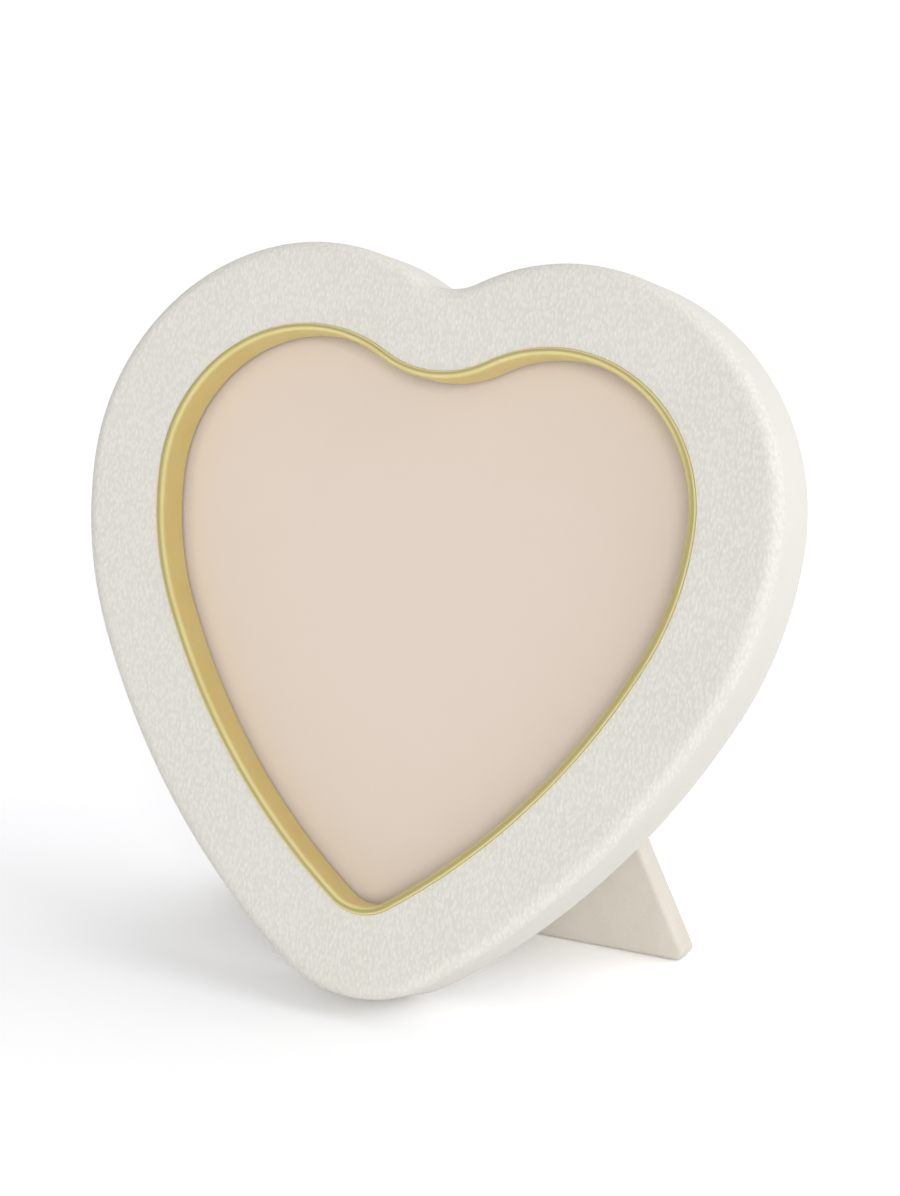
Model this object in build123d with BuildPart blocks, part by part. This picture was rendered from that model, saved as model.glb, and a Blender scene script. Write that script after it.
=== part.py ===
"""Heart-shaped easel photo frame: a shagreen-wrapped ring with a brass bezel, standing on a hinged leg.

Millimetres, +Z up.  The face looks towards -Y and leans back about X.  The origin is on the floor, under
the middle of the frame's box.  Places on the ring are given in the plane of its face: across, up from the
centre of the tip's arc, and depth behind the face.
"""
import os
from math import atan2, cos, degrees, radians, sin, sqrt

from build123d import *

# Heart outline: each half is six arcs, each tangent to the next
tip_radius = 25.7
side_radius = 147.7
flank_radius = 73.0
lobe_radius = 45.3
lobe_offset = 24.7
lobe_rise = 67.0
shoulder_radius = 41.3
shoulder_angle = 78
notch_radius = 11.5

# Ring and its skin
lean = 17.8
skin = 0.9
face_width = 15.6
front_round = 2.5
back_round = 2.0
seat_ledge = 2.8

# Bezel: it follows the outline, apart from its own arc at the notch
bezel_notch_radius = 21.0
lip_width = 1.6
lip_proud = 0.4
lip_round = 0.7
lip_round_limit = 0.45
flange_thickness = 0.8
bezel_clearance = 0.1

# Layers behind the opening, from the glass back
recess = 6.9
glass = 2.0
card = 0.4
filler = 3.0
panel = 3.2
lining = 0.8
layer_clearance = 0.3

# Turn buttons and their screws
button_thickness = 0.9
button_pivot_radius = 3.6
button_tip_radius = 2.6
button_overlap = 6.0
button_edge_round = 0.25
button_gap = 0.1
lobe_button_angle = 50
side_button_angle = -33
screw_radius = 1.1
screw_length = 9.0
screw_point = 0.8
screw_head_radius = 2.7
screw_head_height = 1.3
screw_head_round = 0.6
screw_slot_width = 0.7
screw_slot_depth = 0.6
screw_clearance = 0.05

# Easel hinge
hinge_rise = 54.2
hinge_width = 26.0
knuckles = 5
knuckle_gap = 0.2
barrel_radius = 1.8
barrel_clearance = 0.3
pin_radius = 0.9
pin_clearance = 0.05
pin_head_radius = 1.5
pin_head_height = 0.7
leaf_thickness = 0.8
leaf_length = 15.0
leaf_corner = 2.0
leaf_set = 0.2
tongue_length = 3.2
stop_gap = 0.1
rivet_radius = 1.1
rivet_head_radius = 2.3
rivet_head_height = 1.0
rivet_head_round = 0.8
rivet_spacing = 15.0
rivet_end_distance = 5.0
rivet_clearance = 0.05

# Easel leg
leg_angle = 8.9
leg_thickness = 5.3
leg_top_width = 36.0
foot_width = 92.4
foot_corner = 2.0
leg_edge_round = 1.0
leg_top_gap = 0.4

os.makedirs("parts", exist_ok=True)

# Insets from the outline, and depths behind the face
opening_inset = face_width + lip_width
hole_inset = face_width - bezel_clearance
seat_inset = face_width - seat_ledge
layer_inset = seat_inset + layer_clearance
pivot_inset = seat_inset / 2
card_depth = recess + glass
filler_depth = card_depth + card
panel_depth = filler_depth + filler
lining_depth = panel_depth + panel
ring_depth = lining_depth + lining
pin_depth = ring_depth + barrel_clearance + barrel_radius

# Distances back from the pin, square to the leg
leg_leaf_front = leaf_set - barrel_radius
leg_front = leg_leaf_front + leaf_thickness
leg_back = leg_front + leg_thickness

# Directions: up the ring, back through the ring, down the leg, back through the leg
lean_sin, lean_cos = sin(radians(lean)), cos(radians(lean))
leg_sin, leg_cos = sin(radians(leg_angle)), cos(radians(leg_angle))
ring_up, ring_back = Vector(0, lean_sin, lean_cos), Vector(0, lean_cos, -lean_sin)
leg_down, leg_rear = Vector(0, leg_sin, -leg_cos), Vector(0, leg_cos, leg_sin)

# The tip's rear edge stands on the floor, and the box from the tip's front to the foot's rear is centred
tip_height = (tip_radius - back_round) * lean_cos + (ring_depth - back_round) * lean_sin + back_round
pin_height = tip_height + hinge_rise * lean_cos - pin_depth * lean_sin
tip_front = front_round * (lean_cos - 1) - (tip_radius - front_round) * lean_sin
pin_rear = hinge_rise * lean_sin + pin_depth * lean_cos
foot_rear = pin_rear + pin_height * leg_sin / leg_cos + leg_back / leg_cos
lobe_rear = (lobe_rise + lobe_radius) * lean_sin + ring_depth * lean_cos
tip_centre = Vector(0, -(tip_front + max(foot_rear, lobe_rear)) / 2, tip_height)
through_ring = Axis((0, 0, 0), ring_back)
through_leg = Axis((0, 0, 0), leg_rear)


def spot(across, up, depth):
    """Gives the point of the ring that lies across and up the face, and that deep behind it."""
    return tip_centre + Vector(across, 0, 0) + ring_up * up + ring_back * depth


def at_depth(depth):
    """Gives the plane parallel to the face, looking forwards, that lies that deep behind it."""
    return Plane(spot(0, 0, depth), x_dir=(1, 0, 0), z_dir=-ring_back)


def bearing(start, end):
    """Gives the direction from one point of the face to another, in degrees."""
    return degrees(atan2(end.Y - start.Y, end.X - start.X))


# Arc centres of the heart's right half; the side arc is tangent inside to the tip's and the flank's
tip = Vector(0, 0)
lobe = Vector(lobe_offset, lobe_rise)
flank = Vector(lobe_offset + lobe_radius - flank_radius, lobe_rise)
tip_to_side, flank_to_side = side_radius - tip_radius, side_radius - flank_radius
along = (flank.length**2 + tip_to_side**2 - flank_to_side**2) / (2 * flank.length)
aside = sqrt(tip_to_side**2 - along**2)
side = flank.normalized() * along + Vector(-flank.Y, flank.X).normalized() * aside


def notch_centre(neighbour, distance):
    """Gives the point of the middle line that lies above a neighbouring arc's centre, that far from it."""
    return Vector(0, neighbour.Y + sqrt(distance**2 - neighbour.X**2))


# Arc centres at the top: the outside turns from the lobe into a shoulder, and the opening keeps to the lobe
shoulder_way = Vector(cos(radians(shoulder_angle)), sin(radians(shoulder_angle)))
shoulder = lobe + shoulder_way * (lobe_radius - shoulder_radius)
notch = notch_centre(shoulder, shoulder_radius + notch_radius)
opening_notch_radius = bezel_notch_radius - face_width
opening_notch = notch_centre(lobe, lobe_radius + opening_notch_radius)


def draw_side(inset):
    """Draws the right half from the tip to the lobe, moved in by the inset, in the line that is open."""
    tip_end, side_end = bearing(side, tip), bearing(side, flank)
    CenterArc(tip, tip_radius - inset, -90, tip_end + 90)
    CenterArc(side, side_radius - inset, tip_end, side_end - tip_end)
    CenterArc(flank, flank_radius - inset, side_end, -side_end)


def draw_outside(inset):
    """Draws the ring's outside, moved in by the inset, in the sketch that is open."""
    shoulder_end, notch_start = bearing(shoulder, notch), bearing(notch, shoulder)
    with BuildLine() as outline:
        draw_side(inset)
        CenterArc(lobe, lobe_radius - inset, 0, shoulder_angle)
        CenterArc(shoulder, shoulder_radius - inset, shoulder_angle, shoulder_end - shoulder_angle)
        CenterArc(notch, notch_radius + inset, notch_start, -90 - notch_start)
        mirror(about=Plane.YZ)
    make_face(outline.edges())


def draw_opening(inset, mode=Mode.ADD):
    """Draws the opening, set in from the outside's line by the inset, in the sketch that is open."""
    lobe_end, notch_start = bearing(lobe, opening_notch), bearing(opening_notch, lobe)
    with BuildLine() as outline:
        draw_side(inset)
        CenterArc(lobe, lobe_radius - inset, 0, lobe_end)
        CenterArc(opening_notch, opening_notch_radius + inset, notch_start, -90 - notch_start)
        mirror(about=Plane.YZ)
    make_face(outline.edges(), mode=mode)


def heart_block(inset, front_edge, back_edge):
    """Makes a solid heart, set in all round by the inset, with its front and back edges rounded."""
    with BuildPart() as block:
        with BuildSketch(at_depth(inset)):
            draw_outside(inset)
        extrude(amount=2 * inset - ring_depth)
        fillet(block.faces().sort_by(through_ring)[0].edges(), front_edge)
        fillet(block.faces().sort_by(through_ring)[-1].edges(), back_edge)
    return block.part


def rim_plane(centre, radius, angle, hand):
    """Gives the plane on the ring's back at a button's pivot, its x axis pointing in over the panel."""
    out = Vector(cos(radians(angle)), sin(radians(angle)))
    pivot = centre + out * radius
    inward = Vector(-hand * out.X, 0, 0) - ring_up * out.Y
    return Plane(spot(hand * pivot.X, pivot.Y, ring_depth), x_dir=inward, z_dir=ring_back)


# Pivots of the turn buttons, in the middle of the ring's back band
lobe_pivot_radius, side_pivot_radius = lobe_radius - pivot_inset, side_radius - pivot_inset
button_seats = {"notch": rim_plane(opening_notch, -opening_notch_radius - pivot_inset, 90, 1)}
for side_name, hand in (("left", -1), ("right", 1)):
    button_seats[f"{side_name}_lobe"] = rim_plane(lobe, lobe_pivot_radius, lobe_button_angle, hand)
    button_seats[f"{side_name}_side"] = rim_plane(side, side_pivot_radius, side_button_angle, hand)

# Ring core: a board heart with the opening cut through it and the layers' seat cut in its back
core_block = heart_block(skin, front_round - skin, back_round - skin)
shoulder_depth = recess - flange_thickness
with BuildPart() as frame_core:
    add(core_block)
    with BuildSketch(at_depth(0)):
        draw_opening(hole_inset)
    extrude(amount=-ring_depth, mode=Mode.SUBTRACT)
    with BuildSketch(at_depth(shoulder_depth)):
        draw_opening(seat_inset)
    extrude(amount=shoulder_depth - ring_depth, mode=Mode.SUBTRACT)
    for seat in button_seats.values():
        with BuildSketch(seat):
            Circle(screw_radius + screw_clearance)
        extrude(amount=-screw_length, mode=Mode.SUBTRACT)
frame_core.part.label = "frame_core"
export_step(frame_core.part, "parts/frame_core.step")

# Shagreen skin: covers the face up to the bezel, the sides, and the back band up to the seat
skin_block = heart_block(0, front_round, back_round)
with BuildPart() as shagreen_wrap:
    add(skin_block)
    add(core_block, mode=Mode.SUBTRACT)
    with BuildSketch(at_depth(0)):
        draw_opening(hole_inset)
    extrude(amount=-skin, mode=Mode.SUBTRACT)
    with BuildSketch(at_depth(ring_depth)):
        draw_opening(seat_inset)
    extrude(amount=skin, mode=Mode.SUBTRACT)
    for seat in button_seats.values():
        with BuildSketch(seat):
            Circle(screw_radius + screw_clearance)
        extrude(amount=-skin, mode=Mode.SUBTRACT)
shagreen_wrap.part.label = "shagreen_wrap"
export_step(shagreen_wrap.part, "parts/shagreen_wrap.step")

# Bezel: a wall from the proud lip to the glass, with a flange that the glass presses on the core's shoulder
with BuildPart() as brass_bezel:
    with BuildSketch(at_depth(-lip_proud)):
        draw_opening(face_width)
        draw_opening(opening_inset, mode=Mode.SUBTRACT)
    extrude(amount=-lip_proud - recess)
    with BuildSketch(at_depth(shoulder_depth)):
        draw_opening(layer_inset)
        draw_opening(opening_inset, mode=Mode.SUBTRACT)
    extrude(amount=-flange_thickness)
    fillet(brass_bezel.faces().sort_by(through_ring)[0].edges(), min(lip_round, lip_round_limit * lip_width))
brass_bezel.part.label = "brass_bezel"
export_step(brass_bezel.part, "parts/brass_bezel.step")

# Glass, photo card and filler board: plain hearts laid in the seat
plain_layers = (
    ("glass_pane", recess, glass),
    ("photo_card", card_depth, card),
    ("filler_card", filler_depth, filler),
)
for name, depth, thickness in plain_layers:
    with BuildPart() as layer:
        with BuildSketch(at_depth(depth)):
            draw_opening(layer_inset)
        extrude(amount=-thickness)
    layer.part.label = name
    export_step(layer.part, f"parts/{name}.step")

# Back panel and its suede lining: drilled for the rivets of the hinge
panel_rivet_rise = hinge_rise + leaf_length - rivet_end_distance
panel_rivet_seat = Plane(spot(0, panel_rivet_rise, ring_depth), x_dir=(1, 0, 0), z_dir=ring_back)
for name, depth, thickness in (("back_panel", panel_depth, panel), ("back_lining", lining_depth, lining)):
    with BuildPart() as layer:
        with BuildSketch(at_depth(depth)):
            draw_opening(layer_inset)
        extrude(amount=-thickness)
        with BuildSketch(panel_rivet_seat):
            with GridLocations(rivet_spacing, 0, 2, 1):
                Circle(rivet_radius + rivet_clearance)
        extrude(amount=-panel - lining, mode=Mode.SUBTRACT)
    layer.part.label = name
    export_step(layer.part, f"parts/{name}.step")

# Turn buttons: teardrop brass tabs that reach over the panel's edge
button_reach = pivot_inset + button_overlap - button_tip_radius
for name, seat in button_seats.items():
    with BuildPart() as turn_button:
        with BuildSketch(seat.offset(button_gap)):
            Circle(button_pivot_radius)
            with Locations((button_reach, 0)):
                Circle(button_tip_radius)
            make_hull()
            Circle(screw_radius + screw_clearance, mode=Mode.SUBTRACT)
        extrude(amount=button_thickness)
        outer_face = turn_button.faces().sort_by(through_ring)[-1]
        fillet(outer_face.outer_wire().edges(), button_edge_round)
    turn_button.part.label = f"turn_button_{name}"
    export_step(turn_button.part, f"parts/turn_button_{name}.step")

# Their screws: slotted round heads, just clear of the buttons, with pointed shanks into the core
head_seats = [seat.offset(2 * button_gap + button_thickness) for seat in button_seats.values()]
shank_length = 2 * button_gap + button_thickness + screw_length - screw_clearance
with BuildPart() as turn_button_screws:
    for seat in head_seats:
        with BuildSketch(seat):
            Circle(screw_head_radius)
        extrude(amount=screw_head_height)
    fillet(turn_button_screws.edges().group_by(through_ring)[-1], screw_head_round)
    for seat in head_seats:
        with BuildSketch(seat.offset(screw_head_height)):
            Rectangle(2 * screw_head_radius, screw_slot_width)
        extrude(amount=-screw_slot_depth, mode=Mode.SUBTRACT)
        with BuildSketch(seat):
            Circle(screw_radius)
        extrude(amount=-shank_length)
    chamfer(turn_button_screws.edges().group_by(through_ring)[0], screw_point)
turn_button_screws.part.label = "turn_button_screws"
export_step(turn_button_screws.part, "parts/turn_button_screws.step")

# Hinge sections, seen along the pin from its left end: x away from the barrel, y square to the leaf
pin_left = spot(-hinge_width / 2, hinge_rise, pin_depth)
panel_section = Plane(pin_left, x_dir=ring_up, z_dir=(1, 0, 0))
leg_section = Plane(pin_left, x_dir=leg_down, z_dir=(1, 0, 0))
knuckle_pitch = hinge_width / knuckles
notch_reach = barrel_radius + barrel_clearance
panel_knuckles, leg_knuckles = range(0, knuckles, 2), range(1, knuckles, 2)
panel_leaf_front = barrel_clearance + barrel_radius
panel_leaf_back = panel_leaf_front - leaf_thickness


def draw_strip(length, low, high):
    """Draws the section of a sheet that runs from the pin's middle, between two heights."""
    with Locations((length / 2, (low + high) / 2)):
        Rectangle(length, high - low)


def cut_knuckle_gaps(section, taken):
    """Clears the room of the other leaf's knuckles out of the leaf that is open."""
    for knuckle in taken:
        with BuildSketch(section.offset(knuckle * knuckle_pitch - knuckle_gap / 2)) as gap:
            Rectangle(2 * notch_reach, 4 * notch_reach)
        extrude(gap.sketch, amount=knuckle_pitch + knuckle_gap, mode=Mode.SUBTRACT)


def cut_pin_hole():
    """Bores the leaf that is open for the hinge pin."""
    with BuildSketch(panel_section) as bore:
        Circle(pin_radius + pin_clearance)
    extrude(bore.sketch, amount=hinge_width, mode=Mode.SUBTRACT)


# Panel leaf: a sheet on the lining, above the barrel
with BuildPart() as hinge_panel_leaf:
    with BuildSketch(panel_section):
        Circle(barrel_radius)
        draw_strip(leaf_length, panel_leaf_back, panel_leaf_front)
    extrude(amount=hinge_width)
    fillet(hinge_panel_leaf.edges().filter_by(through_ring).group_by(Axis.Z)[-1], leaf_corner)
    cut_knuckle_gaps(panel_section, leg_knuckles)
    cut_pin_hole()
    with BuildSketch(panel_rivet_seat):
        with GridLocations(rivet_spacing, 0, 2, 1):
            Circle(rivet_radius + rivet_clearance)
    extrude(amount=leaf_thickness, mode=Mode.SUBTRACT)
hinge_panel_leaf.part.label = "hinge_panel_leaf"
export_step(hinge_panel_leaf.part, "parts/hinge_panel_leaf.step")

# Leg leaf: a sheet in front of the leg, below the barrel, with tongues that stop on the panel leaf
leg_rivet_drop = leaf_length - rivet_end_distance
leg_pin = spot(0, hinge_rise, pin_depth)
leg_leaf_seat = Plane(leg_pin + leg_down * leg_rivet_drop, x_dir=(1, 0, 0), z_dir=leg_rear)
with BuildPart() as hinge_leg_leaf:
    with BuildSketch(leg_section):
        Circle(barrel_radius)
        draw_strip(leaf_length, leg_leaf_front, leg_front)
    extrude(amount=hinge_width)
    fillet(hinge_leg_leaf.edges().filter_by(through_leg).group_by(Axis.Z)[0], leaf_corner)
    cut_knuckle_gaps(leg_section, panel_knuckles)
    for knuckle in leg_knuckles:
        with BuildSketch(panel_section.offset(knuckle * knuckle_pitch + knuckle_gap / 2)):
            tongue_front = panel_leaf_back - stop_gap
            draw_strip(barrel_radius + tongue_length, tongue_front - leaf_thickness, tongue_front)
        extrude(amount=knuckle_pitch - knuckle_gap)
    cut_pin_hole()
    with BuildSketch(leg_leaf_seat.offset(leg_leaf_front)):
        with GridLocations(rivet_spacing, 0, 2, 1):
            Circle(rivet_radius + rivet_clearance)
    extrude(amount=leaf_thickness, mode=Mode.SUBTRACT)
hinge_leg_leaf.part.label = "hinge_leg_leaf"
export_step(hinge_leg_leaf.part, "parts/hinge_leg_leaf.step")

# Hinge pin: headed at both ends
with BuildPart() as hinge_pin:
    with BuildSketch(panel_section):
        Circle(pin_radius)
    extrude(amount=hinge_width)
    for start, length in ((0, -pin_head_height), (hinge_width, pin_head_height)):
        with BuildSketch(panel_section.offset(start)):
            Circle(pin_head_radius)
        extrude(amount=length)
hinge_pin.part.label = "hinge_pin"
export_step(hinge_pin.part, "parts/hinge_pin.step")


# Rivets: round heads, with shanks flush at the far side of what they hold
rivet_rows = {
    "panel_rivets": (panel_rivet_seat.offset(leaf_thickness), through_ring, leaf_thickness + lining + panel),
    "leg_rivets": (leg_leaf_seat.offset(leg_back), through_leg, leg_thickness + leaf_thickness),
}
for name, (head_seat, through, grip) in rivet_rows.items():
    with BuildPart() as rivets:
        with BuildSketch(head_seat):
            with GridLocations(rivet_spacing, 0, 2, 1):
                Circle(rivet_head_radius)
        extrude(amount=rivet_head_height)
        fillet(rivets.edges().group_by(through)[-1], rivet_head_round)
        with BuildSketch(head_seat):
            with GridLocations(rivet_spacing, 0, 2, 1):
                Circle(rivet_radius)
        extrude(amount=-grip)
    rivets.part.label = name
    export_step(rivets.part, f"parts/{name}.step")

# Leg: a flared board that ends flat on the floor, in a closed cover
leg_plane = Plane(leg_pin, x_dir=(1, 0, 0), z_dir=-leg_rear)
leg_top = barrel_radius + leg_top_gap
leg_length = (pin_height + leg_front * leg_sin) / leg_cos
leg_flare = (foot_width - leg_top_width) / 2 / (leg_length - leg_top)


def leg_block(inset):
    """Makes the leg's solid, set in all round by the inset and cut level with the floor."""
    below = leg_length + leg_thickness
    below_half = foot_width / 2 + leg_flare * leg_thickness
    top_half = leg_top_width / 2
    with BuildPart() as block:
        with BuildSketch(leg_plane.offset(-leg_front - inset)):
            with BuildLine():
                top_left, top_right = (-top_half, -leg_top), (top_half, -leg_top)
                low_right, low_left = (below_half, -below), (-below_half, -below)
                Polyline(top_left, top_right, low_right, low_left, close=True)
            make_face()
            if inset:
                offset(amount=-inset, kind=Kind.INTERSECTION, mode=Mode.REPLACE)
        extrude(amount=2 * inset - leg_thickness)
        split(bisect_by=Plane.XY.offset(inset), keep=Keep.TOP)
    return block.part


def cut_leg_rivet_holes():
    """Drills the leg piece that is open for the leaf's rivets."""
    with BuildSketch(leg_leaf_seat.offset(leg_front)) as holes:
        with GridLocations(rivet_spacing, 0, 2, 1):
            Circle(rivet_radius + rivet_clearance)
    extrude(holes.sketch, amount=leg_thickness, mode=Mode.SUBTRACT)


leg_board, leg_skin = leg_block(skin), leg_block(0)
with BuildPart() as leg_core:
    add(leg_board)
    cut_leg_rivet_holes()
leg_core.part.label = "leg_core"
export_step(leg_core.part, "parts/leg_core.step")

with BuildPart() as leg_cover:
    add(leg_skin)
    foot_edges = leg_cover.edges().group_by(Axis.Z)[0].sort_by(Axis.X)
    fillet([foot_edges[0], foot_edges[-1]], foot_corner)
    for face_index in (0, -1):
        fillet(leg_cover.faces().sort_by(through_leg)[face_index].edges(), leg_edge_round)
    add(leg_board, mode=Mode.SUBTRACT)
    cut_leg_rivet_holes()
leg_cover.part.label = "leg_cover"
export_step(leg_cover.part, "parts/leg_cover.step")
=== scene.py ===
"""Heart-shaped easel photo frame: leather-wrapped ring, brass bezel, glass, card, lined back, hinged leg.

Metres, +Z up, face towards -Y.  Places on the ring are given in the plane of its face: across, up from the
centre of the tip's arc, and depth behind the face.
"""

import bpy
import numpy as np
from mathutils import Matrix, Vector


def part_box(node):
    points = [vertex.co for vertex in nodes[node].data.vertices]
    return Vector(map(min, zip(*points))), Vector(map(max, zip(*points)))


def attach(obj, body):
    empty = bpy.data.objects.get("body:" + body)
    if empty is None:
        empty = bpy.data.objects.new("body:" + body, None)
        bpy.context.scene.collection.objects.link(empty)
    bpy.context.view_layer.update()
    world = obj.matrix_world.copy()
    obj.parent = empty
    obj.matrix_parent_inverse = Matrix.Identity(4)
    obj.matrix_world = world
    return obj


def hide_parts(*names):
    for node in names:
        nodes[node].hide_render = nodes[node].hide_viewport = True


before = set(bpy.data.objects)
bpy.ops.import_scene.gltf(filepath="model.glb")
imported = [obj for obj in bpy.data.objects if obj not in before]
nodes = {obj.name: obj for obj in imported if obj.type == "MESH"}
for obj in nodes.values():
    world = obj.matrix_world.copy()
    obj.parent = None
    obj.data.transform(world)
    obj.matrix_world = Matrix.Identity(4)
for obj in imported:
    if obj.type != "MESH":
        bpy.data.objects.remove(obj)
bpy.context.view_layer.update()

# Ring core, back panel, leg core: fibreboard sawn to shape.  The ring's and the leg's are glued under their
# covers, and the panel under its lining, so that only thin edges of board are ever seen.
MM = 0.001
BOARD_LIGHT, BOARD_DARK = (0.46, 0.33, 0.21, 1), (0.30, 0.20, 0.12, 1)
FIBRE_SIZE, FIBRE_DEPTH, FIBRE_SQUASH = 0.6 * MM, 0.08 * MM, 0.3
BOARD_ROUGHNESS, FIBRE_ROUGHNESS = 0.7, 0.25


class Wire:
    """A node's output.  Sums, differences, products and powers of wires and numbers add Math nodes."""

    def __init__(self, socket):
        self.socket = socket

    def add(self, kind, settings, inputs, output=0):
        """Adds a node to the wire's tree: its settings are set first, then its sockets' values or links."""
        tree = self.socket.id_data
        made = tree.nodes.new("ShaderNode" + kind)
        for name, value in settings.items():
            setattr(made, name, value)
        for name, value in inputs.items():
            if isinstance(value, Wire):
                tree.links.new(value.socket, made.inputs[name])
            else:
                made.inputs[name].default_value = value
        return Wire(made.outputs[output]) if made.outputs else None

    def maths(self, operation, first, second):
        return self.add("Math", {"operation": operation}, {0: first, 1: second})

    def __add__(self, other):
        return self.maths("ADD", self, other)

    def __sub__(self, other):
        return self.maths("SUBTRACT", self, other)

    def __rsub__(self, other):
        return self.maths("SUBTRACT", other, self)

    def __mul__(self, other):
        return self.maths("MULTIPLY", self, other)

    def __pow__(self, other):
        return self.maths("POWER", self, other)

    __radd__, __rmul__ = __add__, __mul__

    def ease(self, low, high):
        """Runs smoothly from 0 where the wire is at low to 1 where it is at high."""
        inputs = {"Value": self, "From Min": low, "From Max": high}
        return self.add("MapRange", {"interpolation_type": "SMOOTHSTEP"}, inputs)

    def blend(self, low, high):
        """Blends two colours: low where the wire is 0, high where it is 1."""
        return self.add("Mix", {"data_type": "RGBA"}, {0: self, 6: low, 7: high}, output=2)

    def stretch(self, *factors):
        """Multiplies a vector by three factors."""
        return self.add("VectorMath", {"operation": "MULTIPLY"}, {0: self, 1: factors})

    def noise(self, size, detail=3.0, roughness=0.5):
        """Cloudy noise about its mean of a half, with lumps of that size in metres."""
        inputs = {"Vector": self, "Scale": 1 / size, "Detail": detail, "Roughness": roughness}
        return self.add("TexNoise", {}, inputs)

    def relief(self, depth):
        """A normal from the wire taken as a height of 0 to 1, depth metres high."""
        return self.add("Bump", {}, {"Strength": 1.0, "Distance": depth, "Height": self})


def start_finish(name):
    """Starts a material, and gives it with a wire of its object coordinates."""
    finish = bpy.data.materials.new(name)
    finish.use_nodes = True
    finish.node_tree.nodes.clear()
    place = finish.node_tree.nodes.new("ShaderNodeTexCoord")
    return finish, Wire(place.outputs["Object"])


def close_finish(place, inputs):
    """Ends a material with one surface shader that has these sockets."""
    shader = place.add("BsdfPrincipled", {}, inputs)
    place.add("OutputMaterial", {}, {"Surface": shader})


def coat_node(name, finish):
    """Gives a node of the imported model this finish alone."""
    nodes[name].data.materials.clear()
    nodes[name].data.materials.append(finish)


fibreboard, place = start_finish("fibreboard")
fibres = place.stretch(1, 1, FIBRE_SQUASH).noise(FIBRE_SIZE, detail=4, roughness=0.7)
close_finish(place, {
    "Base Color": fibres.blend(BOARD_DARK, BOARD_LIGHT),
    "Roughness": BOARD_ROUGHNESS + FIBRE_ROUGHNESS * fibres,
    "Normal": fibres.relief(FIBRE_DEPTH),
})
for board_node in ("frame_core", "back_panel", "leg_core"):
    coat_node(board_node, fibreboard)

# Shagreen wrap: thin ivory leather with an embossed pebble grain, glued over the core and turned in round
# its back.  Its cut edge rolls down beside the bezel, and on the back it ends at the panel.
TIP_RADIUS = 25.7 * MM
SIDE_RADIUS = 147.7 * MM
FLANK_RADIUS = 73.0 * MM
LOBE_RADIUS = 45.3 * MM
LOBE_OFFSET = 24.7 * MM
LOBE_RISE = 67.0 * MM
SHOULDER_RADIUS = 41.3 * MM
SHOULDER_ANGLE = np.radians(78)
NOTCH_RADIUS = 11.5 * MM
BEZEL_NOTCH_RADIUS = 21.0 * MM
FACE_WIDTH = 15.6 * MM
LEAN = np.radians(17.8)
RING_DEPTH = 16.3 * MM
FRONT_ROUND = 2.5 * MM
BACK_ROUND = 2.0 * MM
LEATHER = 0.9 * MM
SEAT_INSET = 12.8 * MM
CUT_INSET = 15.58 * MM
EDGE_ROLL = 0.06 * MM
PACE_INSET = 8.0 * MM
HALF_STATIONS = 360
CREASE = np.radians(35)
CUT_STEPS, FACE_STEPS, SIDE_STEPS, BAND_STEPS, INSIDE_STEPS, ARC_STEPS = 6, 9, 7, 7, 5, 9

lean_sin, lean_cos = np.sin(LEAN), np.cos(LEAN)
ring_axes = np.array([[1, 0, 0], [0, lean_sin, lean_cos], [0, lean_cos, -lean_sin]])
tip_height = (TIP_RADIUS - BACK_ROUND) * lean_cos + (RING_DEPTH - BACK_ROUND) * lean_sin + BACK_ROUND
tip_setback = (TIP_RADIUS - FRONT_ROUND) * lean_sin + FRONT_ROUND * (1 - lean_cos)
tip_centre = np.array([0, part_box("shagreen_wrap")[0].y + tip_setback, tip_height])


def on_ring(places):
    """Turns places on the ring (across, up, depth) into points: each number runs along its own axis."""
    return tip_centre + places @ ring_axes


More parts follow.
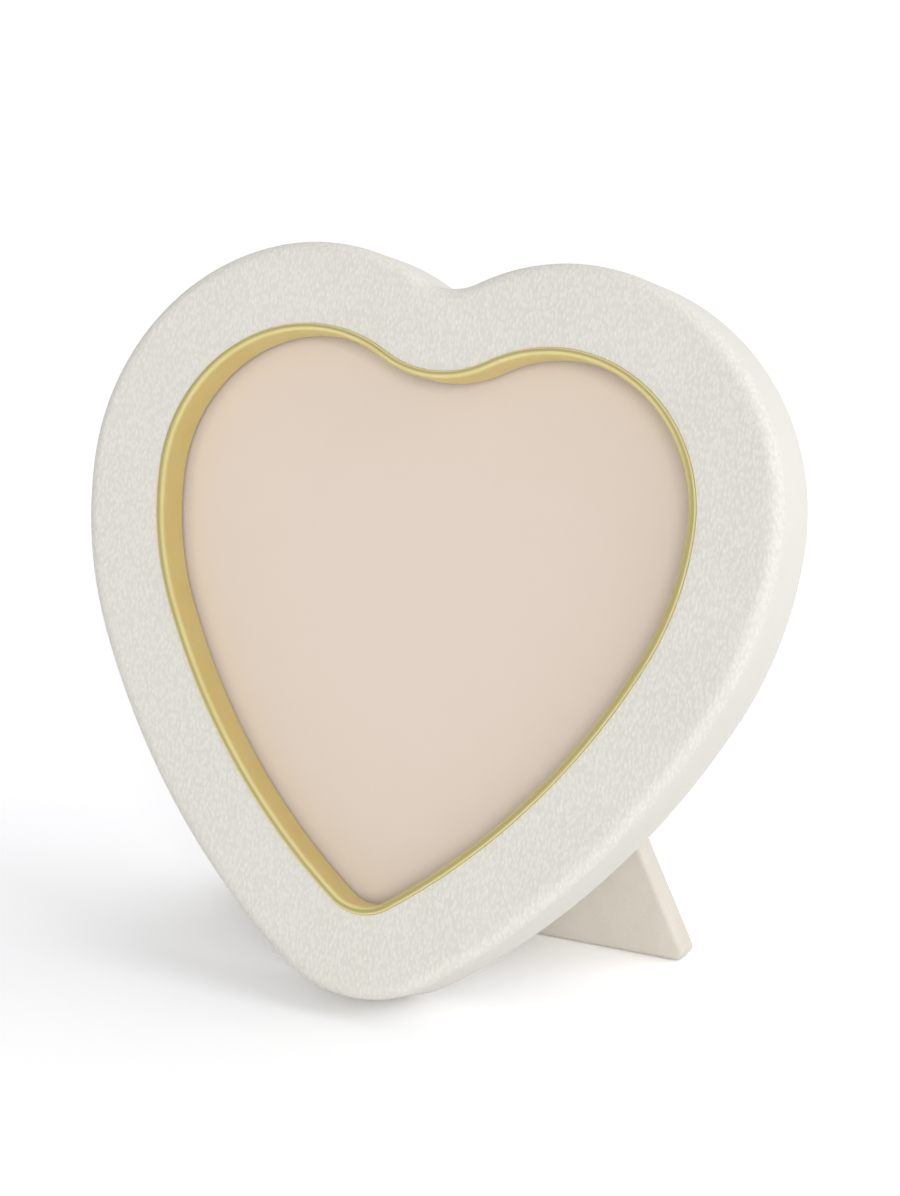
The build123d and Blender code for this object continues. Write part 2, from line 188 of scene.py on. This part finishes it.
def heart_path(shoulder_radius, notch_radius):
    """A heart's outline and its outward normals, at an even pace round the middle of the face.

    Each half is six tangent arcs.  A point is its arc's centre plus the radius along the arc's angle.
    The normal is that direction, turned round on the notch's hollow arc.  The left half mirrors the right.
    """
    lobe = np.array([LOBE_OFFSET, LOBE_RISE])
    flank = lobe + [LOBE_RADIUS - FLANK_RADIUS, 0]
    shoulder_way = np.array([np.cos(SHOULDER_ANGLE), np.sin(SHOULDER_ANGLE)])
    shoulder = lobe + (LOBE_RADIUS - shoulder_radius) * shoulder_way
    notch = np.array([0, shoulder[1] + np.sqrt((shoulder_radius + notch_radius) ** 2 - shoulder[0] ** 2)])
    reach, tip_side = np.hypot(*flank), SIDE_RADIUS - TIP_RADIUS
    along = (reach**2 + tip_side**2 - (SIDE_RADIUS - FLANK_RADIUS) ** 2) / (2 * reach)
    aside = np.sqrt(tip_side**2 - along**2)
    side = (flank * along + flank[::-1] * [-aside, aside]) / reach
    centre = np.array([[0, 0], side, flank, lobe, shoulder, notch])
    radius = np.array([TIP_RADIUS, SIDE_RADIUS, FLANK_RADIUS, LOBE_RADIUS, shoulder_radius, notch_radius])
    outward = np.array([1, 1, 1, 1, 1, -1])
    tip_end, side_end = np.arctan2(*-side[::-1]), np.arctan2(*(flank - side)[::-1])
    shoulder_end = np.arctan2(*(notch - shoulder)[::-1])
    start = np.array([-np.pi / 2, tip_end, side_end, 0, SHOULDER_ANGLE, shoulder_end - np.pi])
    turn = np.array([tip_end, side_end, 0, SHOULDER_ANGLE, shoulder_end, -np.pi / 2]) - start
    length = np.abs(turn) * (radius - outward * PACE_INSET)
    end = np.cumsum(length)
    travel = (np.arange(HALF_STATIONS) + 0.5) / HALF_STATIONS * end[-1]
    arc = np.searchsorted(end, travel)
    angle = start[arc] + turn[arc] * (travel - end[arc] + length[arc]) / length[arc]
    way = np.stack([np.cos(angle), np.sin(angle)], axis=1)
    point = centre[arc] + radius[arc, None] * way
    normal = outward[arc, None] * way
    mirror = np.array([-1, 1])
    return np.concatenate([point, point[::-1] * mirror]), np.concatenate([normal, normal[::-1] * mirror])


def bend(inset, depth, radius, start, end, steps=ARC_STEPS):
    """An arc of a profile about an inset and a depth, from one angle to another, 0 degrees being inwards."""
    angle = np.radians(np.linspace(start, end, steps))
    return np.stack([inset + radius * np.cos(angle), depth + radius * np.sin(angle)], axis=1)


def run(start, end, steps=1):
    """Even steps along a straight of a profile, without its two ends."""
    part = np.linspace(0, 1, steps + 2)[1:-1, None]
    return np.asarray(start) * (1 - part) + np.asarray(end) * part


def carry(path, profile):
    """Carries a profile along a path: points move in along the normal by their inset, at their depth."""
    point, normal = path
    flat = point[:, None] - profile[None, :, :1] * normal[:, None]
    depth = np.broadcast_to(profile[None, :, 1:], flat[..., :1].shape)
    return np.concatenate([flat, depth], axis=-1)


def loop_faces(rows, columns):
    """Quads of a grid that closes on itself both ways."""
    index = np.arange(rows * columns).reshape(rows, columns)
    beside, below = np.roll(index, -1, axis=1), np.roll(index, -1, axis=0)
    return np.stack([index, beside, np.roll(beside, -1, axis=0), below], axis=-1).reshape(-1, 4).tolist()


def new_piece(name, points, faces, finish, body, slot, *replaced):
    """Makes a smooth mesh with creases, puts it on its body with its finish, and hides the nodes that it
    stands for.
    """
    mesh = bpy.data.meshes.new(name)
    mesh.from_pydata(points.reshape(-1, 3).tolist(), [], faces)
    mesh.shade_smooth()
    mesh.set_sharp_from_angle(angle=CREASE)
    mesh.materials.append(finish)
    piece = bpy.data.objects.new(name, mesh)
    bpy.context.collection.objects.link(piece)
    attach(piece, body)
    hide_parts(*replaced)


outside = heart_path(SHOULDER_RADIUS, NOTCH_RADIUS)
opening = heart_path(LOBE_RADIUS, BEZEL_NOTCH_RADIUS - FACE_WIDTH)
wrap_profile = np.concatenate([
    bend(CUT_INSET - EDGE_ROLL, EDGE_ROLL, EDGE_ROLL, 0, -90, CUT_STEPS),
    run((CUT_INSET - EDGE_ROLL, 0), (FRONT_ROUND, 0), FACE_STEPS),
    bend(FRONT_ROUND, FRONT_ROUND, FRONT_ROUND, -90, -180),
    run((0, FRONT_ROUND), (0, RING_DEPTH - BACK_ROUND), SIDE_STEPS),
    bend(BACK_ROUND, RING_DEPTH - BACK_ROUND, BACK_ROUND, 180, 90),
    run((BACK_ROUND, RING_DEPTH), (SEAT_INSET, RING_DEPTH), BAND_STEPS),
    [(SEAT_INSET, RING_DEPTH), (SEAT_INSET, RING_DEPTH - LEATHER)],
    bend(BACK_ROUND, RING_DEPTH - BACK_ROUND, BACK_ROUND - LEATHER, 90, 180, INSIDE_STEPS),
    bend(FRONT_ROUND, FRONT_ROUND, FRONT_ROUND - LEATHER, 180, 270, INSIDE_STEPS),
    [(CUT_INSET, LEATHER)],
])
towards_opening = np.clip((wrap_profile[:, :1] - FRONT_ROUND) / (SEAT_INSET - FRONT_ROUND), 0, 1)
wrap = carry(outside, wrap_profile) * (1 - towards_opening) + carry(opening, wrap_profile) * towards_opening

# The darker ivory is painted shade, laid in the grain's grooves.
IVORY, IVORY_PAINTED_SHADE, IVORY_CLOUD_AND_GLINT = (0.75, 0.728, 0.67, 1), (0.70, 0.677, 0.617, 1), (0.82, 0.805, 0.76, 1)
PEBBLE = 0.6 * MM
PEBBLE_DEPTH = 0.05 * MM
PEBBLE_SQUASH, PEBBLE_SMOOTHNESS, PEBBLE_RANDOMNESS = 0.5, 0.35, 0.85
PEBBLE_TOP, PEBBLE_FOOT = 0.05, 0.75
DRIFT, DRIFT_SIZE = 0.6 * MM, 4 * MM
STRETCH_RUN = 2.5 * MM
FADE_START, FADE_END = 0.9 * MM, 3.2 * MM
TAUT_FLATNESS, TAUT_PALENESS = 0.7, 0.4
GROOVE_EDGE = 0.5
CLOUD_SIZE, CLOUD_RANGE, CLOUD_SHARE = 14 * MM, (0.3, 0.7), 0.12
# Paler dabs on random pebble tops are painted glints.
GLINT_LOT, GLINT_HEIGHT, GLINT_SHARE = (0.6, 0.9), (0.3, 0.9), 0.45
SKIN_ROUGHNESS, PEBBLE_POLISH, SKIN_SHINE = 0.62, 0.16, 0.4
shagreen, place = start_finish("shagreen")
drift = place.add("TexNoise", {}, {"Vector": place, "Scale": 1 / DRIFT_SIZE}, output="Color")
warped = place.add("VectorMath", {"operation": "ADD"}, {0: place, 1: drift.stretch(DRIFT, DRIFT, DRIFT)})
spacing = warped.add("TexVoronoi", {"feature": "SMOOTH_F1"}, {
    "Vector": warped.stretch(1, 1, PEBBLE_SQUASH),
    "Scale": 1 / PEBBLE,
    "Smoothness": PEBBLE_SMOOTHNESS,
    "Randomness": PEBBLE_RANDOMNESS,
})
lot = spacing.add("SeparateXYZ", {}, {0: Wire(spacing.socket.node.outputs["Color"])})
depth = place.add("VectorMath", {"operation": "DOT_PRODUCT"}, {0: place, 1: ring_axes[2]}, output="Value")
face_depth = float(tip_centre @ ring_axes[2])
behind_face = depth - face_depth
back_grain = behind_face.ease(RING_DEPTH - STRETCH_RUN, RING_DEPTH)
taut = behind_face.ease(FADE_START, FADE_END) * (1 - back_grain)
pebble = (1 - spacing.ease(PEBBLE_TOP, PEBBLE_FOOT)) * (1 - TAUT_FLATNESS * taut)
cloud = place.noise(CLOUD_SIZE, detail=2).ease(*CLOUD_RANGE)
# The grooves between pebbles are painted darker as painted shade. That shade fades where the leather is
# stretched flat over its edges.
ivory = (pebble + TAUT_PALENESS * taut).ease(0, GROOVE_EDGE).blend(IVORY_PAINTED_SHADE, IVORY)
# Random pebble tops are painted paler as painted glints. The large clouds are the leather's own uneven tone,
# and both blend towards the paler ivory.
painted_glint = lot.ease(*GLINT_LOT) * pebble.ease(*GLINT_HEIGHT)
close_finish(place, {
    "Base Color": (GLINT_SHARE * painted_glint + CLOUD_SHARE * cloud).blend(ivory, IVORY_CLOUD_AND_GLINT),
    "Roughness": SKIN_ROUGHNESS - PEBBLE_POLISH * pebble,
    "Specular IOR Level": SKIN_SHINE,
    "Normal": pebble.relief(PEBBLE_DEPTH),
})
new_piece("shagreen_skin", on_ring(wrap), loop_faces(*wrap.shape[:2]), shagreen,
          "frame", "shagreen", "shagreen_wrap")

# Brass bezel: a drawn angle section bent round the opening and polished.  Its rounded lip stands just proud
# of the leather, its wall runs down to the glass, and its flange is pinched on the core's shoulder.
OPENING_INSET = 17.2 * MM
LIP_PROUD = 0.4 * MM
LIP_OUTER_ROUND, LIP_INNER_ROUND = 0.4 * MM, 1.1 * MM
RECESS = 6.9 * MM
FLANGE = 0.8 * MM
LAYER_INSET = 13.1 * MM
WALL_STEPS, LIP_STEPS = 6, 13
bezel_profile = np.concatenate([
    [(OPENING_INSET, RECESS)],
    run((OPENING_INSET, RECESS), (OPENING_INSET, LIP_INNER_ROUND - LIP_PROUD), WALL_STEPS),
    bend(OPENING_INSET - LIP_INNER_ROUND, LIP_INNER_ROUND - LIP_PROUD, LIP_INNER_ROUND, 0, -90, LIP_STEPS),
    bend(FACE_WIDTH + LIP_OUTER_ROUND, LIP_OUTER_ROUND - LIP_PROUD, LIP_OUTER_ROUND, -90, -180)[1:],
    [(FACE_WIDTH, RECESS - FLANGE), (LAYER_INSET, RECESS - FLANGE), (LAYER_INSET, RECESS)],
])
bezel = carry(opening, bezel_profile)

BRASS, BRASS_DEEP = (0.80, 0.71, 0.335, 1), (0.74, 0.62, 0.255, 1)
TARNISH_SIZE, TARNISH_RANGE, TARNISH_SHARE = 9 * MM, (0.35, 0.75), 0.35
WIPE_SIZE, WIPE_SQUASH = 1.2 * MM, 0.3
POLISH_ROUGHNESS, TARNISH_ROUGHNESS, WIPE_ROUGHNESS = 0.36, 0.06, 0.06
polished_brass, place = start_finish("polished_brass")
tarnish = place.noise(TARNISH_SIZE).ease(*TARNISH_RANGE)
wipe = place.stretch(1, 1, WIPE_SQUASH).noise(WIPE_SIZE, detail=2)
close_finish(place, {
    "Base Color": (TARNISH_SHARE * tarnish).blend(BRASS, BRASS_DEEP),
    "Metallic": 1.0,
    "Roughness": POLISH_ROUGHNESS + TARNISH_ROUGHNESS * tarnish + WIPE_ROUGHNESS * wipe,
})
new_piece("bezel_moulding", on_ring(bezel), loop_faces(*bezel.shape[:2]), polished_brass,
          "frame", "polished_brass", "brass_bezel")

# Glass pane: float glass with ground edges, laid behind the bezel's flange, a hair off the card behind it.
# It is clear, with a plain gloss and a faint green cast.
GLASS = 2.0 * MM
GRIND = 0.2 * MM
GLASS_GAP = 0.05 * MM
HEART_MIDDLE = 48.0 * MM
RINGS = 4
GLASS_TINT, WHITE = (0.985, 0.995, 0.99, 1), (1, 1, 1, 1)
GLOSS_ROUGHNESS = 0.04
GLOSS_FACING, GLOSS_GRAZING, GLOSS_POWER, EVEN_BLEND = 0.03, 0.7, 5, 0.5


def board(path, profile, middle):
    """A closed board: the rim's profile is carried round the path, and its ends shrink to the middle.

    The rings of a flat side are the rim's end drawn to the middle in even steps, closed by a fan at a pole.
    """
    rim = carry(path, profile)
    poles = np.array([[0, middle, profile[0, 1]], [0, middle, profile[-1, 1]]])
    part = np.arange(1, RINGS)[None, :, None] / RINGS
    front = poles[0] + (rim[:, :1] - poles[0]) * part
    back = poles[1] + (rim[:, -1:] - poles[1]) * part[:, ::-1]
    grid = np.concatenate([front, rim, back], axis=1)
    rows, columns = grid.shape[:2]
    index = np.arange(rows * columns).reshape(rows, columns)
    below = np.roll(index, -1, axis=0)
    quads = np.stack([index[:, :-1], index[:, 1:], below[:, 1:], below[:, :-1]], axis=-1).reshape(-1, 4)
    front_fan = np.stack([np.full(rows, index.size), index[:, 0], below[:, 0]], axis=-1)
    back_fan = np.stack([np.full(rows, index.size + 1), below[:, -1], index[:, -1]], axis=-1)
    faces = quads.tolist() + front_fan.tolist() + back_fan.tolist()
    return np.concatenate([grid.reshape(-1, 3), poles]), faces


def sheet_profile(inset, front, back, bevel):
    """The rim of a sheet between two depths, with a bevel at each edge."""
    return np.array([
        (inset + bevel, front), (inset, front + bevel), (inset, back - bevel), (inset + bevel, back),
    ])


pane_profile = sheet_profile(LAYER_INSET, RECESS, RECESS + GLASS - GLASS_GAP, GRIND)
pane, pane_faces = board(opening, pane_profile, HEART_MIDDLE)
clear_glass, place = start_finish("clear_glass")
film = place.add("BsdfGlossy", {}, {"Color": WHITE, "Roughness": GLOSS_ROUGHNESS})
view_through = place.add("BsdfTransparent", {}, {"Color": GLASS_TINT})
facing_away = place.add("LayerWeight", {}, {"Blend": EVEN_BLEND}, output="Facing")
gloss = GLOSS_FACING + GLOSS_GRAZING * facing_away**GLOSS_POWER
glass_shader = place.add("MixShader", {}, {0: gloss, 1: view_through, 2: film})
place.add("OutputMaterial", {}, {"Surface": glass_shader})
new_piece("glass_sheet", on_ring(pane), pane_faces, clear_glass, "frame", "clear_glass", "glass_pane")

# Photo card and filler: a bare blush card with a faint paper tooth, backed by thick grey millboard.
# Both are cut to the heart and lie loose in the seat.
CARD = 0.4 * MM
CARD_BEVEL = 0.05 * MM
BLUSH, BLUSH_PALE = (0.84, 0.688, 0.607, 1), (0.865, 0.713, 0.632, 1)
TOOTH_SIZE, TOOTH_DEPTH, TOOTH_SHARE = 0.25 * MM, 0.012 * MM, 0.25
PULP_SIZE, PULP_SHARE = 6 * MM, 0.5
CARD_ROUGHNESS, TOOTH_ROUGHNESS = 0.72, 0.15
card_depth = RECESS + GLASS
card_profile = sheet_profile(LAYER_INSET, card_depth, card_depth + CARD, CARD_BEVEL)
card, card_faces = board(opening, card_profile, HEART_MIDDLE)
blush_card, place = start_finish("blush_card")
tooth = place.noise(TOOTH_SIZE, roughness=0.6)
pulp = place.noise(PULP_SIZE, detail=2)
close_finish(place, {
    "Base Color": (PULP_SHARE * pulp + TOOTH_SHARE * tooth).blend(BLUSH, BLUSH_PALE),
    "Roughness": CARD_ROUGHNESS + TOOTH_ROUGHNESS * tooth,
    "Normal": tooth.relief(TOOTH_DEPTH),
})
new_piece("blush_heart_card", on_ring(card), card_faces, blush_card, "frame", "blush_card", "photo_card")

GREY_LIGHT, GREY_DARK = (0.42, 0.41, 0.39, 1), (0.31, 0.30, 0.28, 1)
PULP_FLECK, PULP_FLECK_DEPTH = 0.8 * MM, 0.05 * MM
GREY_ROUGHNESS, PULP_FLECK_ROUGHNESS = 0.75, 0.2
grey_board, place = start_finish("grey_board")
flecks = place.noise(PULP_FLECK, detail=4, roughness=0.7)
close_finish(place, {
    "Base Color": flecks.blend(GREY_DARK, GREY_LIGHT),
    "Roughness": GREY_ROUGHNESS + PULP_FLECK_ROUGHNESS * flecks,
    "Normal": flecks.relief(PULP_FLECK_DEPTH),
})
coat_node("filler_card", grey_board)

# Back lining: pale suede glued over the panel, soft at its edge where it is trimmed to the panel.
# Its nap lies in faint brushed patches.
LINING = 0.8 * MM
LINING_ROUND = 0.5 * MM
FLAT_MARGIN = 0.4 * MM
SUEDE, SUEDE_DEEP, SUEDE_PALE = (0.67, 0.625, 0.545, 1), (0.60, 0.55, 0.465, 1), (0.715, 0.68, 0.61, 1)
lining_profile = np.concatenate([
    [(LAYER_INSET, RING_DEPTH - LINING)],
    run((LAYER_INSET, RING_DEPTH - LINING), (LAYER_INSET, RING_DEPTH - LINING_ROUND)),
    bend(LAYER_INSET + LINING_ROUND, RING_DEPTH - LINING_ROUND, LINING_ROUND, 180, 90),
    [(LAYER_INSET + LINING_ROUND + FLAT_MARGIN, RING_DEPTH)],
])
lining, lining_faces = board(opening, lining_profile, HEART_MIDDLE)

NAP_SIZE, NAP_DEPTH, NAP_RANGE, NAP_SHARE = 0.22 * MM, 0.05 * MM, (0.25, 0.6), 0.15
BRUSH_SIZE, BRUSH_SQUASH, BRUSH_RANGE, BRUSH_SHARE = 7 * MM, 0.45, (0.3, 0.7), 0.45
SUEDE_ROUGHNESS, NAP_ROUGHNESS, SUEDE_SHINE = 0.86, 0.12, 0.25
SUEDE_SHEEN, SHEEN_ROUGHNESS = 0.25, 0.4
suede, place = start_finish("suede")
nap = place.noise(NAP_SIZE, detail=4, roughness=0.65)
brushed = place.stretch(1, 1, BRUSH_SQUASH).noise(BRUSH_SIZE).ease(*BRUSH_RANGE)
suede_colour = nap.ease(*NAP_RANGE).blend(SUEDE_DEEP, SUEDE)
close_finish(place, {
    "Base Color": (BRUSH_SHARE * brushed + NAP_SHARE * nap).blend(suede_colour, SUEDE_PALE),
    "Roughness": SUEDE_ROUGHNESS + NAP_ROUGHNESS * nap,
    "Specular IOR Level": SUEDE_SHINE,
    "Sheen Weight": SUEDE_SHEEN,
    "Sheen Roughness": SHEEN_ROUGHNESS,
    "Normal": nap.relief(NAP_DEPTH),
})
new_piece("suede_lining", on_ring(lining), lining_faces, suede, "frame", "suede", "back_lining")

# Turn buttons, their screws and the hinge: stamped and turned brass, left satin.  The buttons swivel on
# their screws, and the hinge's leaves are riveted to the panel and to the leg round one pin.
SATIN, SATIN_DEEP = (0.80, 0.64, 0.30, 1), (0.62, 0.46, 0.19, 1)
SCRATCH_SIZE, SCRATCH_DEPTH, SCRATCH_SQUASH, SCRATCH_SHARE = 0.25 * MM, 0.01 * MM, 0.08, 0.2
PATINA_SIZE, PATINA_RANGE, PATINA_SHARE = 3.5 * MM, (0.35, 0.75), 0.55
SATIN_ROUGHNESS, PATINA_ROUGHNESS, SCRATCH_ROUGHNESS = 0.26, 0.12, 0.12
BUTTON_SEATS = ("notch", "left_lobe", "right_lobe", "left_side", "right_side")
HINGE_NODES = ("hinge_panel_leaf", "hinge_leg_leaf", "hinge_pin", "panel_rivets", "leg_rivets")
satin_brass, place = start_finish("hinge_brass")
scratches = place.stretch(SCRATCH_SQUASH, 1, 1).noise(SCRATCH_SIZE, roughness=0.6)
patina = place.noise(PATINA_SIZE).ease(*PATINA_RANGE)
close_finish(place, {
    "Base Color": (PATINA_SHARE * patina + SCRATCH_SHARE * scratches).blend(SATIN, SATIN_DEEP),
    "Metallic": 1.0,
    "Roughness": SATIN_ROUGHNESS + PATINA_ROUGHNESS * patina + SCRATCH_ROUGHNESS * scratches,
    "Normal": scratches.relief(SCRATCH_DEPTH),
})
for seat in BUTTON_SEATS:
    coat_node(f"turn_button_{seat}", satin_brass)
for brass_node in ("turn_button_screws", *HINGE_NODES):
    coat_node(brass_node, satin_brass)

# Easel leg: a flared board in a smooth suede cover, hung from the hinge and cut level at the foot.
# Its edges are eased, and its two foot corners are rounded.
LEG_ANGLE = np.radians(8.9)
LEG_FRONT = -0.8 * MM
LEG_THICKNESS = 5.3 * MM
LEG_TOP = 2.2 * MM
LEG_TOP_WIDTH = 36.0 * MM
FOOT_WIDTH = 92.4 * MM
FOOT_CORNER = 2.0 * MM
TOP_CORNER = 1.5 * MM
LEG_EDGE_ROUND = 1.0 * MM
HINGE_RISE = 54.2 * MM
PIN_DEPTH = 18.4 * MM
CORNER_STEPS = 12

leg_sin, leg_cos = np.sin(LEG_ANGLE), np.cos(LEG_ANGLE)
leg_axes = np.array([[1, 0, 0], [0, -leg_sin, leg_cos], [0, leg_cos, leg_sin]])
pin = on_ring(np.array([0, HINGE_RISE, PIN_DEPTH]))
leg_length = (pin[2] + LEG_FRONT * leg_sin) / leg_cos
leg_flare = (FOOT_WIDTH - LEG_TOP_WIDTH) / 2 / (leg_length - LEG_TOP)


def rounded_path(corners, radii):
    """A board's outline and outward normals: an arc at each corner, from one edge's normal to the next's."""
    edge = np.roll(corners, -1, axis=0) - corners
    after = np.stack([edge[:, 1], -edge[:, 0]], axis=1) / np.hypot(*edge.T)[:, None]
    before = np.roll(after, 1, axis=0)
    reach = (before + after) / (1 + np.sum(before * after, axis=1))[:, None]
    start = np.arctan2(before[:, 1], before[:, 0])
    turn = (np.arctan2(after[:, 1], after[:, 0]) - start) % (2 * np.pi)
    angle = start[:, None] + turn[:, None] * np.linspace(0, 1, CORNER_STEPS)
    normal = np.stack([np.cos(angle), np.sin(angle)], axis=-1)
    point = (corners - radii[:, None] * reach)[:, None] + radii[:, None, None] * normal
    return point.reshape(-1, 2), normal.reshape(-1, 2)


leg_corners = np.array([
    (FOOT_WIDTH / 2, -leg_length), (LEG_TOP_WIDTH / 2, -LEG_TOP),
    (-LEG_TOP_WIDTH / 2, -LEG_TOP), (-FOOT_WIDTH / 2, -leg_length),
])
leg_path = rounded_path(leg_corners, np.array([FOOT_CORNER, TOP_CORNER, TOP_CORNER, FOOT_CORNER]))
leg_back = LEG_FRONT + LEG_THICKNESS
flat_inset = LEG_EDGE_ROUND + FLAT_MARGIN
leg_profile = np.concatenate([
    [(flat_inset, LEG_FRONT)],
    bend(LEG_EDGE_ROUND, LEG_FRONT + LEG_EDGE_ROUND, LEG_EDGE_ROUND, -90, -180),
    run((0, LEG_FRONT + LEG_EDGE_ROUND), (0, leg_back - LEG_EDGE_ROUND)),
    bend(LEG_EDGE_ROUND, leg_back - LEG_EDGE_ROUND, LEG_EDGE_ROUND, 180, 90),
    [(flat_inset, leg_back)],
])
leg, leg_faces = board(leg_path, leg_profile, -leg_length / 2)
drop = (leg[:, 2] - LEG_FRONT) * leg_sin / leg_cos * (-LEG_TOP - leg[:, 1]) / (leg_length - LEG_TOP)
middle_width = leg_flare * (-LEG_TOP - leg[:, 1]) + LEG_TOP_WIDTH / 2
leg[:, 0] *= 1 + leg_flare * drop / middle_width
leg[:, 1] -= drop
new_piece("leg_slab", pin + leg @ leg_axes, leg_faces, suede, "easel_leg", "suede", "leg_cover")

# Floor, light and camera: a white table in a pale room, under broad soft light from the right and front.
# The room looks white to the camera.  It is dimmer as a light, and darker at the front left in mirrors.
FLOOR_SIZE = 12.0
FLOOR_BOUNCE, FLOOR_WHITE = 0.94, 1.2
FLOOR_TINT = (1.0, 1.0, 1.01)
GLOW, GLOW_BACK, GLOW_SIDE, GLOW_RANGE = 0.315, 0.74, (-0.45, 0.89, 0.0), (0.0, 1.0)
ROOM_DIM, DIM_SIDE, DIM_RANGE = 0.46, (-0.6, -0.8, 0.0), (0.25, 0.8)
KEY_DIRECTION, KEY_ANGLE, KEY_STRENGTH = (0.73, 0.23, 0.64), np.radians(64), 1.47
FRONT_DIRECTION, FRONT_ANGLE, FRONT_STRENGTH = (0.431, -0.852, 0.297), np.radians(24), 1.27
FILL_DIRECTION, FILL_ANGLE, FILL_STRENGTH = (0.45, -0.83, 0.33), np.radians(80), 0.51
KEY_COLOUR = (0.975, 0.985, 1.02)


def split_rays(start):
    """Wires that are 1 on rays straight from the camera, and on rays off a mirror or through glass."""
    camera_rays = start.add("LightPath", {}, {}, output="Is Camera Ray")
    kinds = camera_rays.socket.node.outputs
    return camera_rays, Wire(kinds["Is Glossy Ray"]) + Wire(kinds["Is Transmission Ray"])


corner = FLOOR_SIZE / 2
floor_corners = [(-corner, -corner, 0), (corner, -corner, 0), (corner, corner, 0), (-corner, corner, 0)]
floor_mesh = bpy.data.meshes.new("floor")
floor_mesh.from_pydata(floor_corners, [], [(0, 1, 2, 3)])
floor = bpy.data.objects.new("floor", floor_mesh)
bpy.context.collection.objects.link(floor)
white_floor, place = start_finish("white_floor")
floor_mesh.materials.append(white_floor)
camera_rays, mirrored = split_rays(place)
seen_white = (*[FLOOR_WHITE * share for share in FLOOR_TINT], 1)
floor_colour = (camera_rays + mirrored).blend((FLOOR_BOUNCE, FLOOR_BOUNCE, FLOOR_BOUNCE, 1), seen_white)
place.add("OutputMaterial", {}, {"Surface": place.add("BsdfDiffuse", {}, {"Color": floor_colour})})

studio = bpy.data.worlds.new("studio")
studio.use_nodes = True
studio.node_tree.nodes.clear()
bpy.context.scene.world = studio
direction = Wire(studio.node_tree.nodes.new("ShaderNodeTexCoord").outputs["Generated"])
camera_rays, mirrored = split_rays(direction)
behind, dim = (
    direction.add("VectorMath", {"operation": "DOT_PRODUCT"}, {0: direction, 1: side}, output="Value")
    for side in (GLOW_SIDE, DIM_SIDE)
)
glow = GLOW + (GLOW_BACK - GLOW) * behind.ease(*GLOW_RANGE)
room = 1 - (1 - ROOM_DIM) * dim.ease(*DIM_RANGE)
strength = glow + (1 - glow) * camera_rays + (room - glow) * mirrored
backdrop = direction.add("Background", {}, {"Color": WHITE, "Strength": strength})
direction.add("OutputWorld", {}, {"Surface": backdrop})

for name, towards, spread, energy in (
    ("key", KEY_DIRECTION, KEY_ANGLE, KEY_STRENGTH),
    ("front", FRONT_DIRECTION, FRONT_ANGLE, FRONT_STRENGTH),
    ("fill", FILL_DIRECTION, FILL_ANGLE, FILL_STRENGTH),
):
    lamp = bpy.data.objects.new(name, bpy.data.lights.new(name, "SUN"))
    lamp.data.energy = energy
    lamp.data.angle = spread
    lamp.rotation_euler = Vector(towards).to_track_quat("Z", "Y").to_euler()
    lamp.visible_glossy = False
    bpy.context.collection.objects.link(lamp)
bpy.data.lights["key"].color = KEY_COLOUR

AIM = Vector((0, -9.35 * MM, 67.02 * MM))
VIEW_TURN, VIEW_RISE, VIEW_DISTANCE = np.radians(26.82), np.radians(17.28), 550 * MM
LENS, SENSOR_WIDTH, SHIFT_ACROSS, SHIFT_UP = 90.6, 36, 0.0456, 0.0380
NEAR_CLIP = 10 * MM
level = np.cos(VIEW_RISE)
away = Vector((np.sin(VIEW_TURN) * level, -np.cos(VIEW_TURN) * level, np.sin(VIEW_RISE)))
camera = bpy.data.objects.new("camera", bpy.data.cameras.new("camera"))
camera.location = AIM + VIEW_DISTANCE * away
camera.rotation_euler = away.to_track_quat("Z", "Y").to_euler()
camera.data.lens = LENS
camera.data.sensor_width = SENSOR_WIDTH
camera.data.shift_x, camera.data.shift_y = SHIFT_ACROSS, SHIFT_UP
camera.data.clip_start = NEAR_CLIP
bpy.context.collection.objects.link(camera)
bpy.context.scene.camera = camera
bpy.context.scene.view_settings.view_transform = "Standard"
